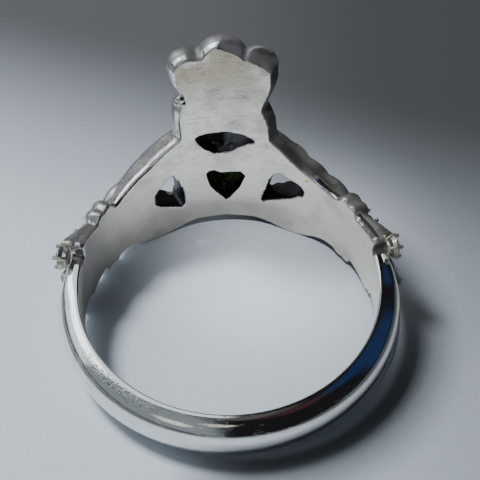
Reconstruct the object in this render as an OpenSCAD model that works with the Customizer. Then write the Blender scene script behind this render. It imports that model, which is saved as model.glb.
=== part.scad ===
// Cast silver ring: two hands hold a crowned heart, which is set with a faceted green stone.
// The ring lies on its side and rests on its hands and on the back of its shank.
// All sizes are in millimetres. Angles run round the finger from the middle of the head, and are
// positive towards +X. Heights run along the finger from the upper edge of the shank.

/* [Finger hole] */
// Inside radius of the ring
bore_r = 8.65; // [8.4:0.05:9.2]

/* [Shank] */
// Height of the shank, along the finger
shank_h = 3.2; // [2.8:0.1:3.4]
// Thickness of the half-round shank
shank_t = 1.35; // [1.2:0.05:1.5]
// Angle at which the shank begins on each side
shank_start = 80.5; // [80:0.5:82]

/* [Hands] */
// Thickness of the pierced plate that the hands and the crown grow from
plate_t = 1.25; // [1.1:0.05:1.4]
// Number of fingers on each hand below the heart
finger_count = 4; // [3:1:4]
// How far the fingers stand out of the plate
finger_relief = 0.5; // [0.3:0.05:0.6]
// How far the back of the hand stands out of the plate
hand_relief = 0.6; // [0.3:0.05:0.7]

/* [Cuffs] */
// Number of pleats round each cuff
pleat_count = 14; // [10:1:16]
// Depth of the pleats at the mouth of the cuff
pleat_depth = 0.17; // [0.08:0.01:0.2]
// Thickness of the wire of the two rings round each wrist
wrist_wire = 0.95; // [0.8:0.05:1]

/* [Crown] */
// Thickness of the crown
crown_t = 1.1; // [1:0.05:1.3]
// Radius of the middle lobe of the crown
middle_lobe_r = 1.18; // [1.1:0.02:1.24]
// Radius of the lobe on each side
side_lobe_r = 0.88; // [0.82:0.02:0.92]

/* [Stones] */
// Half the width of the heart stone
heart_half_w = 2.35; // [2.2:0.05:2.45]
// Height of the heart stone, from its lobes to its tip
heart_h = 5.2; // [5:0.05:5.4]
// Wall of the heart's setting
bezel_wall = 0.45; // [0.4:0.05:0.55]
// Diameter of the clear stones at the mouth of each cuff
cuff_stone_d = 1.05; // [0.95:0.05:1.1]
// Diameter of the clear stones at each wrist
wrist_stone_d = 1.0; // [0.9:0.05:1.05]

/* [Hidden] */
$fn = 48;

LEFT = -1;
RIGHT = 1;
past = 0.3;       // how far a cutter or a buried end runs past a surface
buried = 0.5;     // how far the band of the hands runs inside the bore
cuff_buried = 0.8;    // the same for the cuffs
wire_buried = 0.65;   // and for the wires of the wrists
seat_gap = 0.04;  // clearance between a stone and its setting
bore_ease = 0.15;       // how far the finger hole widens towards its two ends
straight_past = 0.1;    // how far its straight part runs past the edges of the shank

// Outline of the band of the two hands: angle, lower edge, upper edge on the left and on the right
ANGLE = 0;
LOWER = 1;
UPPER_LEFT = 2;
UPPER_RIGHT = 3;
band_outline = [
    [0,    -4.75, 2.90, 2.90],
    [13,   -4.80, 2.95, 2.85],
    [18,   -5.00, 3.00, 2.80],
    [22.5, -5.25, 2.58, 2.25],
    [27,   -5.40, 2.10, 1.62],
    [32,   -5.35, 1.57, 1.08],
    [37,   -5.05, 1.24, 0.77],
    [42.5, -4.60, 0.86, 0.47],
    [47,   -4.42, 0.52, 0.35],
    [51,   -4.35, 0.30, 0.38],
    [62,   -4.25, 0.40, 0.45]
];
band_end = 60;
band_step = 3;
finger_share = 0.6;    // share of the band's height that the fingers take
thumb_share = 0.22;    // share that the thumb takes along the upper edge
wave_steps = 4;        // points across each finger and thumb

// Sides of the crown: height, half-width on the left and on the right
HEIGHT = 0;
HALF_LEFT = 1;
HALF_RIGHT = 2;
crown_sides = [
    [2.6,  2.75, 2.87],
    [3.8,  2.73, 2.76],
    [4.5,  2.77, 2.55],
    [5.1,  2.80, 2.30],
    [5.6,  2.76, 2.42],
    [6.25, 2.34, 2.62],
    [6.6,  2.45, 2.72],
    [7.2,  2.70, 2.82],
    [8.3,  2.83, 2.80]
];
side_lobe_x = 1.94;
side_lobe_z = 8.28;
middle_lobe_z = 8.68;
crown_band_z = [3.35, 4.35];     // heights of the two wires along the foot of the crown
crown_wire_r = 0.28;
crown_bead_r = 0.3;
crown_bead_angles = [-12, -6, 0, 6, 12];
lobe_pocket_depth = 0.35;

// Openings in the plate, as [x, height] round their edges
crescent = [[-1.81, 2.82], [-1.47, 3.04], [-0.74, 3.13], [0.05, 3.15], [0.53, 3.1], [0.95, 2.99],
    [1.44, 2.78], [1.92, 2.42], [1.32, 2.15], [0.83, 1.88], [0.45, 1.51], [0.08, 1.46],
    [-0.29, 1.41], [-0.7, 1.42], [-0.9, 1.65], [-1.2, 1.84], [-1.5, 2.17]];
heart_hole = [[-1.22, -0.42], [-1.02, -0.18], [-0.71, -0.13], [-0.27, -0.4], [0.18, -0.36],
    [0.99, -0.32], [1.28, -0.72], [0.92, -1.82], [0.6, -2.33], [0.27, -2.84], [0, -3.08],
    [-0.26, -2.71], [-0.69, -2.16], [-1, -1.62], [-1.14, -1.01]];
left_opening = [[-3.37, 0.16], [-2.89, -0.84], [-2.67, -1.8], [-2.67, -2.9], [-2.85, -3.12],
    [-4.23, -2.3], [-4.48, -1.9], [-4.48, -1.26], [-4.27, -0.91], [-3.79, -0.36]];
right_opening = [[3.06, -0.18], [3.42, 0.06], [4.03, -0.25], [4.65, -0.49], [4.9, -0.88],
    [4.84, -1.3], [4.51, -1.46], [4.09, -1.96], [3.17, -2.52], [2.6, -2.79], [2.21, -3.1],
    [2.34, -2.56], [2.59, -1.6], [2.82, -0.65]];
side_opening_angle = 25;

// Rings round each wrist: angle and share of the full wire thickness
WIRE_ANGLE = 0;
WIRE_SHARE = 1;
wrist_wires = [[54.5, 1], [59, 0.88]];
wire_top = 0.38;
wire_bottom = -4.15;
wire_reach = 0.95;      // distance of the wire's middle from the bore
wire_bend_r = 0.52;
wire_turn_step = 30;
wire_sides = 10;

// Stations along each cuff: angle, upper edge, lower edge, thickness, share of the pleats' depth and
// share of the scallops, by which the pleats' crests run past their valleys
CUFF_ANGLE = 0;
CUFF_TOP = 1;
CUFF_BOTTOM = 2;
CUFF_T = 3;
CUFF_PLEAT = 4;
CUFF_SCALLOP = 5;
cuff_stations = [
    [57.3, 0.30, -4.00, 0.85, 0.3,  0],
    [61,   0.36, -4.02, 0.92, 0.5,  0.3],
    [65,   0.50, -4.10, 1.06, 0.75, 0.6],
    [69,   0.65, -4.20, 1.24, 0.9,  0.8],
    [73,   0.80, -4.30, 1.46, 1,    1],
    [75.4, 0.92, -4.36, 1.62, 1,    1],
    [76.4, 0.72, -4.16, 1.42, 0.6,  0]
];
scallop = 0.9;          // how far the pleats' crests run past their valleys, in degrees
pleat_points = 4;       // points across each pleat
cuff_corner_r = 0.45;

neck_from = 75;
neck_top = 0.1;
neck_bottom = -3.85;
neck_t = 0.8;

cuff_stone_angle = 80.2;
cuff_stone_reach = 1.34;    // distance of the girdle from the bore
cuff_stone_z = [0.45, -1.7, -3.85];
cup_foot = [0.3, 0.7];      // distances of the foot of each cup from the bore
wrist_stone_angle = 62.6;
wrist_stone_reach = 1.22;
wrist_stone_z = [-0.75, -1.85, -2.95];
claw_r = 0.11;
claw_spread = 2.9;      // degrees to each side of the row of wrist stones
claw_rise = 0.28;       // how far the claws rise past the girdle

// The heart stone and its setting stand on the middle of the head
heart_top = 1.25;           // height of the stone's lobes
heart_lobe_r = heart_half_w * 0.52;
heart_lobe_x = heart_half_w - heart_lobe_r;
heart_lobe_z = heart_top - heart_lobe_r;
heart_tip_r = 0.2;
heart_tip_z = heart_top - heart_h + heart_tip_r;
heart_middle = [0, heart_top - heart_h * 0.45];
heart_arc_steps = 8;
heart_tip_steps = 3;
girdle_y = 11.2;
girdle_t = 0.12;
heart_crown_h = 0.72;
heart_pavilion_h = 1.95;
bezel_base = bore_r + 0.7;
bezel_top = girdle_y + 0.2;
ledge_share = 0.86;         // size of the opening under the girdle, as a share of the stone
ledge_depth = heart_pavilion_h * (1 - ledge_share) + 2 * seat_gap;

// Resting on the floor: the hands' lower edge and the back of the shank touch it
contact_angle = 27;
contact_low = -lookup(contact_angle, [for (row = band_outline) [row[ANGLE], row[LOWER]]]);
rest_tilt = atan((contact_low - shank_h) / (bore_r * cos(contact_angle) + bore_r));
rest_height = shank_h * cos(rest_tilt) + bore_r * sin(rest_tilt);
footprint_shift = 1.244;      // from the finger's axis to the middle of the ring's length

// Smooth step from 0 at x = a to 1 at x = b
function rise(x, a, b) = let (t = min(1, max(0, (x - a) / (b - a)))) t * t * (3 - 2 * t);
function on_cylinder(angle, r, z) = [r * sin(angle), r * cos(angle), z];
function band_lower(angle) = lookup(abs(angle), [for (row = band_outline) [row[ANGLE], row[LOWER]]]);
function band_upper(angle) =
    let (column = angle < 0 ? UPPER_LEFT : UPPER_RIGHT)
    lookup(abs(angle), [for (row = band_outline) [row[ANGLE], row[column]]]);

// Half-round rise across a finger, for f from 0 to 1
function finger_wave(f) = sqrt(max(0, 1 - pow(2 * f - 1, 2)));

// How far the hand stands out of the plate at an angle and a share v of the band's height
function hand_out(angle, v) =
    let (
        u = abs(angle),
        fingers = rise(u, 13, 18) * (1 - rise(u, 33, 41)),
        k = v / finger_share * finger_count,
        thumb = (v - 1 + thumb_share) / thumb_share,
        back = rise(u, 30, 41) * (1 - rise(u, 48, 53))
    )
    (v < finger_share ? finger_relief * fingers * finger_wave(k - floor(k)) : 0)
    + (thumb > 0 ? finger_relief * rise(u, 17, 22) * (1 - rise(u, 33, 41)) * finger_wave(thumb) : 0)
    + hand_relief * back * (1 - pow(abs(2 * v - 1), 4));

// Middle of a ring of points
function middle_of(points) =
    [for (axis = [0 : 2]) [for (p = points) p[axis]] * [for (p = points) 1 / len(points)]];

// Solid between rings of points that all have the same number of points
module skin(rings) {
    n = len(rings[0]);
    last = len(rings) - 1;
    first_middle = n * len(rings);
    sides = [for (k = [0 : last - 1], i = [0 : n - 1])
        let (a = k * n + i, b = k * n + (i + 1) % n)
        each [[a, b + n, b], [a, a + n, b + n]]];
    first_cap = [for (i = [0 : n - 1]) [first_middle, i, (i + 1) % n]];
    last_cap = [for (i = [0 : n - 1]) [first_middle + 1, last * n + (i + 1) % n, last * n + i]];
    polyhedron(
        points = concat([for (ring = rings, p = ring) p], [middle_of(rings[0]), middle_of(rings[last])]),
        faces = concat(sides, first_cap, last_cap));
}

// The two hands and the plate under the heart, as one curved band
module hands() {
    finger_points = finger_count * wave_steps;
    shares = concat(
        [for (i = [0 : finger_points]) finger_share * i / finger_points],
        [(finger_share + 1 - thumb_share) / 2],
        [for (i = [0 : wave_steps]) 1 - thumb_share * (1 - i / wave_steps)]);
    skin([for (angle = [-band_end : band_step : band_end])
        let (low = band_lower(angle), high = band_upper(angle))
        concat(
            [on_cylinder(angle, bore_r - buried, low)],
            [for (v = shares)
                on_cylinder(angle, bore_r + plate_t + hand_out(angle, v), low + (high - low) * v)],
            [on_cylinder(angle, bore_r - buried, high)])]);
}

// Half-round shank, flat inside
module shank() {
    arc_r = (pow(shank_t, 2) + pow(shank_h / 2, 2)) / (2 * shank_t);
    rotate([0, 0, shank_start - 270])
        rotate_extrude(angle = 360 - 2 * shank_start)
            intersection() {
                translate([bore_r + shank_t - arc_r, -shank_h / 2])
                    circle(r = arc_r);
                translate([bore_r - past, -shank_h])
                    square([shank_t + 2 * past, shank_h]);
            }
}

// Narrow necks between the shank and the cuffs
module necks() {
    for (turn = [90 - shank_start - 1, 90 + neck_from])
        rotate([0, 0, turn])
            rotate_extrude(angle = shank_start + 1 - neck_from)
                translate([bore_r - past, neck_bottom])
                    square([neck_t + past, neck_top - neck_bottom]);
}

// Outline of a cuff at one station, with its pleats, from the bore's upper edge round to the lower
function cuff_ring(side, station) =
    let (
        r = cuff_corner_r,
        out = bore_r + station[CUFF_T],
        top = station[CUFF_TOP],
        bottom = station[CUFF_BOTTOM],
        inner = bore_r + 0.15,
        side_run = out - r - inner,
        face_run = top - bottom - 2 * r,
        corner_run = r * PI / 2,
        total = 2 * side_run + 2 * corner_run + face_run,
        count = pleat_count * pleat_points
    )
    concat(
        [on_cylinder(side * station[CUFF_ANGLE], bore_r - cuff_buried, top)],
        [for (i = [0 : count])
            let (
                s = total * i / count,
                crest = abs(sin(180 * i / pleat_points)),
                depth = pleat_depth * station[CUFF_PLEAT] * (1 - crest),
                angle = station[CUFF_ANGLE] - scallop * station[CUFF_SCALLOP] * (1 - crest),
                s2 = s - side_run,
                s3 = s2 - corner_run,
                s4 = s3 - face_run,
                s5 = s4 - corner_run,
                turn = s < side_run ? 90
                    : s2 < corner_run ? 90 * (1 - s2 / corner_run)
                    : s3 < face_run ? 0
                    : s4 < corner_run ? -90 * s4 / corner_run
                    : -90,
                base = s < side_run ? [inner + s, top - r]
                    : s2 < corner_run ? [out - r, top - r]
                    : s3 < face_run ? [out - r, top - r - s3]
                    : s4 < corner_run ? [out - r, bottom + r]
                    : [out - r - s5, bottom + r]
            )
            on_cylinder(side * angle,
                base[0] + (r - depth) * cos(turn),
                base[1] + (r - depth) * sin(turn))],
        [on_cylinder(side * station[CUFF_ANGLE], bore_r - cuff_buried, bottom)]);

// Pleated cuff that flares towards the shank
module cuff(side) {
    rings = [for (station = cuff_stations) cuff_ring(side, station)];
    skin(side > 0 ? [for (ring = rings) [for (i = [len(ring) - 1 : -1 : 0]) ring[i]]] : rings);
}

// Round wires that wrap the wrist over its top, face and underside
module wrist_rings(side) {
    for (wire = wrist_wires) {
        r = wrist_wire / 2 * wire[WIRE_SHARE];
        out = bore_r + wire_reach;
        // The wire's middle line, as [distance from the finger's axis, height, direction it faces]
        path = concat(
            [[bore_r - wire_buried, wire_top, 90]],
            [for (turn = [90 : -wire_turn_step : 0])
                [out - wire_bend_r + wire_bend_r * cos(turn), wire_top - wire_bend_r * (1 - sin(turn)), turn]],
            [for (turn = [0 : -wire_turn_step : -90])
                [out - wire_bend_r + wire_bend_r * cos(turn), wire_bottom + wire_bend_r * (1 + sin(turn)), turn]],
            [[bore_r - wire_buried, wire_bottom, -90]]);
        rotate([0, 0, -side * wire[WIRE_ANGLE]])
            skin([for (p = path) [for (i = [0 : wire_sides - 1])
                let (around = 360 / wire_sides * (i + 0.5), away = r * cos(around))
                [r * sin(around), p[0] + away * cos(p[2]), p[1] + away * sin(p[2])]]]);
    }
}

module crown_face() {
    polygon(concat(
        [for (row = crown_sides) [-row[HALF_LEFT], row[HEIGHT]]],
        [for (i = [len(crown_sides) - 1 : -1 : 0]) [crown_sides[i][HALF_RIGHT], crown_sides[i][HEIGHT]]]));
    for (x = [-side_lobe_x, side_lobe_x])
        translate([x, side_lobe_z])
            circle(r = side_lobe_r);
    translate([0, middle_lobe_z])
        circle(r = middle_lobe_r);
}

// Extrudes a flat shape drawn as [x, height] outwards, from one distance to another
module outwards(from, to) {
    translate([0, to, 0])
        rotate([90, 0, 0])
            linear_extrude(height = to - from)
                children();
}

// Wire that follows the curve of the crown
module crown_wire(z, half_angle) {
    rotate([0, 0, 90 - half_angle])
        rotate_extrude(angle = 2 * half_angle)
            translate([bore_r + crown_t, z])
                circle(r = crown_wire_r);
}

module crown() {
    difference() {
        intersection() {
            cylinder(h = 12, r = bore_r + crown_t);
            outwards(bore_r / 2, bore_r + 2)
                crown_face();
        }
        for (x = [-side_lobe_x, 0, side_lobe_x])
            outwards(bore_r + crown_t - lobe_pocket_depth - (x == 0 ? 0 : 0.2), bore_r + 2)
                translate([x, x == 0 ? middle_lobe_z : side_lobe_z])
                    circle(r = side_lobe_r * 0.62);
        outwards(bore_r + crown_t - lobe_pocket_depth, bore_r + 2)
            polygon([[0, 7.3], [1.5, 5.3], [-1.5, 5.3]]);
    }
    for (z = crown_band_z)
        crown_wire(z, 15);
    for (angle = crown_bead_angles)
        translate(on_cylinder(angle, bore_r + crown_t, (crown_band_z[0] + crown_band_z[1]) / 2))
            sphere(r = crown_bead_r, $fn = 10);
    for (x = [-side_lobe_x, 0, side_lobe_x])
        translate([x, sqrt(pow(bore_r + crown_t, 2) - x * x) - 0.5, x == 0 ? middle_lobe_z : side_lobe_z])
            sphere(r = 0.34, $fn = 10);
}

// Right half of the heart's outline, grown by g, from the cleft to the tip
function heart_half(g) =
    let (
        lobe = heart_lobe_r + g,
        tip = heart_tip_r + g,
        dx = heart_lobe_x,
        dz = heart_lobe_z - heart_tip_z,
        side_turn = atan2(dz, dx) - acos((tip - lobe) / norm([dx, dz])),
        cleft_turn = 180 - acos(heart_lobe_x / lobe)
    )
    concat(
        [for (i = [0 : heart_arc_steps])
            let (turn = cleft_turn + (side_turn - cleft_turn) * i / heart_arc_steps)
            [heart_lobe_x + lobe * cos(turn), heart_lobe_z + lobe * sin(turn)]],
        [for (i = [0 : heart_tip_steps])
            let (turn = side_turn + (-90 - side_turn) * i / heart_tip_steps)
            [tip * cos(turn), heart_tip_z + tip * sin(turn)]]);
function heart_outline(g) =
    let (half = heart_half(g), n = len(half))
    concat(half, [for (i = [n - 2 : -1 : 1]) [-half[i][0], half[i][1]]]);

// Raised rim that holds the heart stone, open behind for the light
module heart_setting() {
    outwards(bezel_base, bezel_top)
        polygon(heart_outline(bezel_wall + seat_gap));
}

module heart_seat() {
    outwards(girdle_y - girdle_t - ledge_depth, bezel_top + past)
        polygon(heart_outline(seat_gap));
    outwards(bezel_base, bezel_top)
        polygon([for (p = heart_outline(0)) heart_middle + (p - heart_middle) * ledge_share]);
    outwards(bore_r / 2, bezel_top)
        polygon(heart_hole);
}

// Pierced work: the openings beside the heart and under the crown
module openings() {
    outwards(bore_r / 2, bore_r + 4)
        polygon(crescent);
    for (opening = [left_opening, right_opening]) {
        side = opening == left_opening ? LEFT : RIGHT;
        rotate([0, 0, -side * side_opening_angle])
            outwards(bore_r / 2, bore_r + 4)
                polygon([for (p = opening) let (angle = asin(p[0] / bore_r) - side * side_opening_angle)
                    [bore_r * sin(angle), p[1]]]);
    }
}

// The finger hole, cut by two half turns that meet beside the shank. It is straight behind the shank,
// and eases outwards past both its edges, so that the head slides over a knuckle.
module bore() {
    for (turn = [20, 200])
        rotate([0, 0, turn])
            rotate_extrude(angle = 180, $fn = 128)
                polygon([
                    [0, -10],
                    [bore_r + bore_ease, -10],
                    [bore_r, -shank_h - straight_past],
                    [bore_r, straight_past],
                    [bore_r + bore_ease, 15],
                    [0, 15]]);
}

// Places a child on the outside of the ring, its own +Z pointing outwards
module facing_out(angle, reach, z) {
    rotate([0, 0, -angle])
        translate([0, bore_r + reach, z])
            rotate([-90, 0, 0])
                children();
}

module stone_seats(side) {
    for (z = cuff_stone_z)
        facing_out(side * cuff_stone_angle, cuff_stone_reach - 0.5, z)
            cylinder(h = 2, d = cuff_stone_d + 2 * seat_gap);
    for (z = wrist_stone_z)
        facing_out(side * wrist_stone_angle, wrist_stone_reach - 0.7, z)
            cylinder(h = 2, d = wrist_stone_d + 2 * seat_gap);
}

// A square foot with four claws for each stone at the mouth of a cuff
module cuff_cups(side) {
    width = (cuff_stone_d / 2 + seat_gap + claw_r) * sqrt(2);
    for (z = cuff_stone_z)
        facing_out(side * cuff_stone_angle, cup_foot[0], z) {
            translate([-width / 2, -width / 2, 0])
                cube([width, width, cup_foot[1] - cup_foot[0]]);
            for (x = [-width / 2, width / 2], y = [-width / 2, width / 2])
                translate([x, y, 0])
                    cylinder(h = cuff_stone_reach + claw_rise - cup_foot[0], r = claw_r, $fn = 6);
        }
}

// Claws between the stones behind the wires of a wrist, and beyond the ends of their row
module wrist_claws(side) {
    step = wrist_stone_z[1] - wrist_stone_z[0];
    for (turn = [-claw_spread, claw_spread], i = [0 : len(wrist_stone_z)])
        facing_out(side * wrist_stone_angle + turn, wrist_stone_reach - 0.9, wrist_stone_z[0] + step * (i - 0.5))
            cylinder(h = 0.9 + claw_rise / 2, r = claw_r, $fn = 6);
}

// A brilliant-cut stone on any outline with an even number of points. Its girdle lies at z = 0.
module brilliant(outline, middle, crown_h, pavilion_h, edge) {
    n = len(outline);
    function ring(share, z, first, step) =
        [for (i = [first : step : n - 1]) let (p = middle + (outline[i] - middle) * share) [p[0], p[1], z]];
    half = n / 2;
    table = ring(0.58, crown_h, 0, 2);
    bend = ring(0.84, crown_h * 0.55, 1, 2);
    upper = ring(1, 0, 0, 1);
    lower = ring(1, -edge, 0, 1);
    belly = ring(0.5, -edge - pavilion_h * 0.5, 1, 2);
    culet = [[middle[0], middle[1], -edge - pavilion_h]];
    b0 = half;
    u0 = b0 + half;
    l0 = u0 + n;
    p0 = l0 + n;
    c0 = p0 + half;
    crown_faces = [for (k = [0 : half - 1])
        let (next = (k + 1) % half, g = 2 * k, mid = g + 1, far = (g + 2) % n)
        each [
            [k, b0 + k, next],
            [k, u0 + g, b0 + k],
            [next, b0 + k, u0 + far],
            [b0 + k, u0 + g, u0 + mid],
            [b0 + k, u0 + mid, u0 + far]
        ]];
    edge_faces = [for (i = [0 : n - 1])
        let (next = (i + 1) % n)
        each [[u0 + i, l0 + i, l0 + next], [u0 + i, l0 + next, u0 + next]]];
    pavilion_faces = [for (k = [0 : half - 1])
        let (before = (k + half - 1) % half, g = 2 * k, mid = g + 1, far = (g + 2) % n)
        each [
            [l0 + g, p0 + k, l0 + mid],
            [l0 + mid, p0 + k, l0 + far],
            [l0 + g, c0, p0 + k],
            [l0 + g, p0 + before, c0]
        ]];
    polyhedron(
        points = concat(table, bend, upper, lower, belly, culet),
        faces = concat([[for (k = [0 : half - 1]) k]], crown_faces, edge_faces, pavilion_faces));
}

module round_stone(d) {
    outline = [for (i = [0 : 15]) d / 2 * [cos(-22.5 * i), sin(-22.5 * i)]];
    brilliant(outline, [0, 0], d * 0.15, d * 0.42, d * 0.05);
}

// Turns the ring from its own upright frame to the way that it lies on the floor
module at_rest() {
    translate([0, -footprint_shift, rest_height])
        rotate([rest_tilt, 0, 0])
            children();
}

module ring() {
    color("silver")
        at_rest()
            difference() {
                union() {
                    difference() {
                        union() {
                            shank();
                            necks();
                            hands();
                            heart_setting();
                            for (side = [LEFT, RIGHT]) {
                                cuff(side);
                                wrist_rings(side);
                            }
                        }
                        for (side = [LEFT, RIGHT])
                            stone_seats(side);
                        heart_seat();
                    }
                    crown();
                    for (side = [LEFT, RIGHT]) {
                        cuff_cups(side);
                        wrist_claws(side);
                    }
                }
                openings();
                bore();
            }
}

module heart_stone() {
    color("darkolivegreen")
        at_rest()
            translate([0, girdle_y, 0])
                rotate([90, 0, 0])
                    mirror([0, 0, 1])
                        brilliant(heart_outline(0), heart_middle, heart_crown_h, heart_pavilion_h, girdle_t);
}

module cuff_stone(side, index) {
    color("white")
        at_rest()
            facing_out(side * cuff_stone_angle, cuff_stone_reach, cuff_stone_z[index])
                round_stone(cuff_stone_d);
}

module wrist_stone(side, index) {
    color("white")
        at_rest()
            facing_out(side * wrist_stone_angle, wrist_stone_reach, wrist_stone_z[index])
                round_stone(wrist_stone_d);
}

ring();
heart_stone();
cuff_stone(LEFT, 0);  // cuff_stone_left_1
cuff_stone(LEFT, 1);  // cuff_stone_left_2
cuff_stone(LEFT, 2);  // cuff_stone_left_3
cuff_stone(RIGHT, 0);  // cuff_stone_right_1
cuff_stone(RIGHT, 1);  // cuff_stone_right_2
cuff_stone(RIGHT, 2);  // cuff_stone_right_3
wrist_stone(LEFT, 0);  // wrist_stone_left_1
wrist_stone(LEFT, 1);  // wrist_stone_left_2
wrist_stone(LEFT, 2);  // wrist_stone_left_3
wrist_stone(RIGHT, 0);  // wrist_stone_right_1
wrist_stone(RIGHT, 1);  // wrist_stone_right_2
wrist_stone(RIGHT, 2);  // wrist_stone_right_3
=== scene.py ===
# %% [markdown]
# # A cast silver ring with a heart of moldavite
# We dress a CAD model of a ring in Blender: two hands hold a crowned heart. The CAD gives the true
# sizes, and this script gives the looks: soft cast edges, polished and satin silver, and cut stones.

import math

import bmesh
import bpy
import numpy as np
from mathutils import Matrix, Vector


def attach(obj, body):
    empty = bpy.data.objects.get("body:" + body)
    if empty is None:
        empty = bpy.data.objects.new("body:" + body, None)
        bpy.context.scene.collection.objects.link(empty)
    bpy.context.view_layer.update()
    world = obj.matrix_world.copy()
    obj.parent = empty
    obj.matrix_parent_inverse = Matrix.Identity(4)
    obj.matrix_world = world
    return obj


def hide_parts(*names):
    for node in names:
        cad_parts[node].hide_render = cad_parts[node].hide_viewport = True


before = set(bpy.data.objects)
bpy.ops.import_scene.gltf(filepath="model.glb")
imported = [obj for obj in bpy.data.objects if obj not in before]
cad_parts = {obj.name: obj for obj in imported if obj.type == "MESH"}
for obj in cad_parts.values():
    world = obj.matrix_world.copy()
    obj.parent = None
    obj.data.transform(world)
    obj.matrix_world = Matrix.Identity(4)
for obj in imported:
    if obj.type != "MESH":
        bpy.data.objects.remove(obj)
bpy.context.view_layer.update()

# %% [markdown]
# ## Camera
# The camera looks down into the finger hole from above the shank. Its place comes from fitting a
# pinhole camera to the round edge of the shank, because a true circle shows every error of angle.

# %% Camera
MM = 0.001
camera_data = bpy.data.cameras.new("camera")
camera_data.sensor_width = 36
camera_data.lens = 75
camera_data.clip_start = 0.001
camera_data.clip_end = 10
camera = bpy.data.objects.new("camera", camera_data)
bpy.context.collection.objects.link(camera)
CAMERA_RIGHT = Vector((0.999365, -0.033832, -0.011149))
CAMERA_UP = Vector((0.031667, 0.700445, 0.713003))
CAMERA_BACK = Vector((-0.016313, -0.712904, 0.701072))
CAMERA_PLACE = Vector((-0.2344, -40.7747, 46.3769)) * MM
turned = Matrix((CAMERA_RIGHT, CAMERA_UP, CAMERA_BACK)).transposed().to_4x4()
camera.matrix_world = Matrix.Translation(CAMERA_PLACE) @ turned
bpy.context.scene.camera = camera
print("camera stands", round(CAMERA_PLACE.length / MM, 1), "mm from the ring's middle")

# %% [markdown]
# ## Working frame
# Rings are easiest to model upright, in millimetres, with the finger's axis on Z and the middle of
# the head towards +Y. Each finished piece is then laid down on the floor by one matrix, the same
# turn and shift as in the CAD, so every piece meets the others without any fitting.

# %% Sizes of the shank and the finger hole, and the place on the floor
BORE_R = 8.65
SHANK_H = 3.2
SHANK_T = 1.35
SHANK_START = 80.5
BORE_EASE = 0.15
STRAIGHT_PAST = 0.1
REST_TILT = math.radians(7.66016)
REST_PLACE = Vector((0, -1.244, 4.32446))
LAID_DOWN = (Matrix.Scale(MM, 4) @ Matrix.Translation(REST_PLACE)
             @ Matrix.Rotation(REST_TILT, 4, "X"))
print("finger hole is", 2 * BORE_R, "mm wide, and the ring tilts by",
      round(math.degrees(REST_TILT), 2), "degrees")


# %% Helpers that select, change and join pieces
def deselect():
    bpy.ops.object.select_all(action="DESELECT")


def only(piece):
    """Makes one piece the selected and active one."""
    deselect()
    piece.select_set(True)
    bpy.context.view_layer.objects.active = piece


def modify(piece, kind, **settings):
    """Adds a modifier, sets it and applies it."""
    only(piece)
    modifier = piece.modifiers.new(kind.lower(), kind)
    for key, value in settings.items():
        setattr(modifier, key, value)
    bpy.ops.object.modifier_apply(modifier=modifier.name)


def join(pieces, name):
    deselect()
    for piece in pieces:
        piece.select_set(True)
    bpy.context.view_layer.objects.active = pieces[0]
    bpy.ops.object.join()
    pieces[0].name = name
    return pieces[0]


def mirrored(pieces):
    """Copies pieces to the other side of the head."""
    copies = []
    for piece in pieces:
        only(piece)
        bpy.ops.object.duplicate()
        copy = bpy.context.object
        copy.data.transform(Matrix.Scale(-1, 4, Vector((1, 0, 0))))
        copy.data.flip_normals()
        copies.append(copy)
    return copies


# %% Helpers that make a loft, a slab and a lump
def loft(name, rings):
    """Extrudes a ring of points from place to place. Both ends are closed."""
    deselect()
    bpy.ops.mesh.primitive_circle_add(vertices=len(rings[0]), radius=1)
    piece = bpy.context.object
    piece.name = name
    bpy.ops.object.mode_set(mode="EDIT")
    edit = bmesh.from_edit_mesh(piece.data)
    order = edit.verts.layers.int.new("order")
    for vert in edit.verts:
        vert[order] = vert.index
        vert.co = rings[0][vert.index]
        vert.select_set(True)
    bmesh.update_edit_mesh(piece.data)
    bpy.ops.mesh.edge_face_add()
    for ring in rings[1:]:
        bpy.ops.mesh.extrude_region()
        edit = bmesh.from_edit_mesh(piece.data)
        order = edit.verts.layers.int["order"]
        for vert in edit.verts:
            if vert.select:
                vert.co = ring[vert[order]]
        bmesh.update_edit_mesh(piece.data)
    bpy.ops.mesh.select_all(action="SELECT")
    bpy.ops.mesh.normals_make_consistent(inside=False)
    bpy.ops.object.mode_set(mode="OBJECT")
    return piece


def slab(name, outline, inner, outer):
    """A flat shape of [x, z] points, thick from inner to outer along Y."""
    return loft(name, [[(x, inner, z) for x, z in outline], [(x, outer, z) for x, z in outline]])


def pebble(place, sizes, lean=0, segments=24):
    """A smooth lump: a sphere stretched to half-sizes along X, Y and Z, then leaned in the XZ plane."""
    deselect()
    bpy.ops.mesh.primitive_uv_sphere_add(segments=segments, ring_count=segments * 2 // 3, radius=1)
    lump = bpy.context.object
    shape = (Matrix.Translation(Vector(place)) @ Matrix.Rotation(math.radians(lean), 4, "Y")
             @ Matrix.Diagonal((*sizes, 1)))
    lump.data.transform(shape)
    return lump


# %% Helpers that measure and place
def wall_radius(z):
    """Radius of the finger hole at a height: straight behind the shank, and eased past its edges."""
    past = max(z - STRAIGHT_PAST, 0) / (15 - STRAIGHT_PAST)
    below = max(-SHANK_H - STRAIGHT_PAST - z, 0) / (10 - SHANK_H - STRAIGHT_PAST)
    return BORE_R + BORE_EASE * max(past, below)


def lay_down(piece, finishes, choose):
    """Gives each face the finish that a function picks, and puts the piece on the floor."""
    piece.data.materials.clear()
    for finish in finishes:
        piece.data.materials.append(finish)
    for face in piece.data.polygons:
        face.material_index = choose(face)
    piece.data.transform(LAID_DOWN)
    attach(piece, "root")
    print(piece.name, "has", len(piece.data.polygons), "faces")


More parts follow.
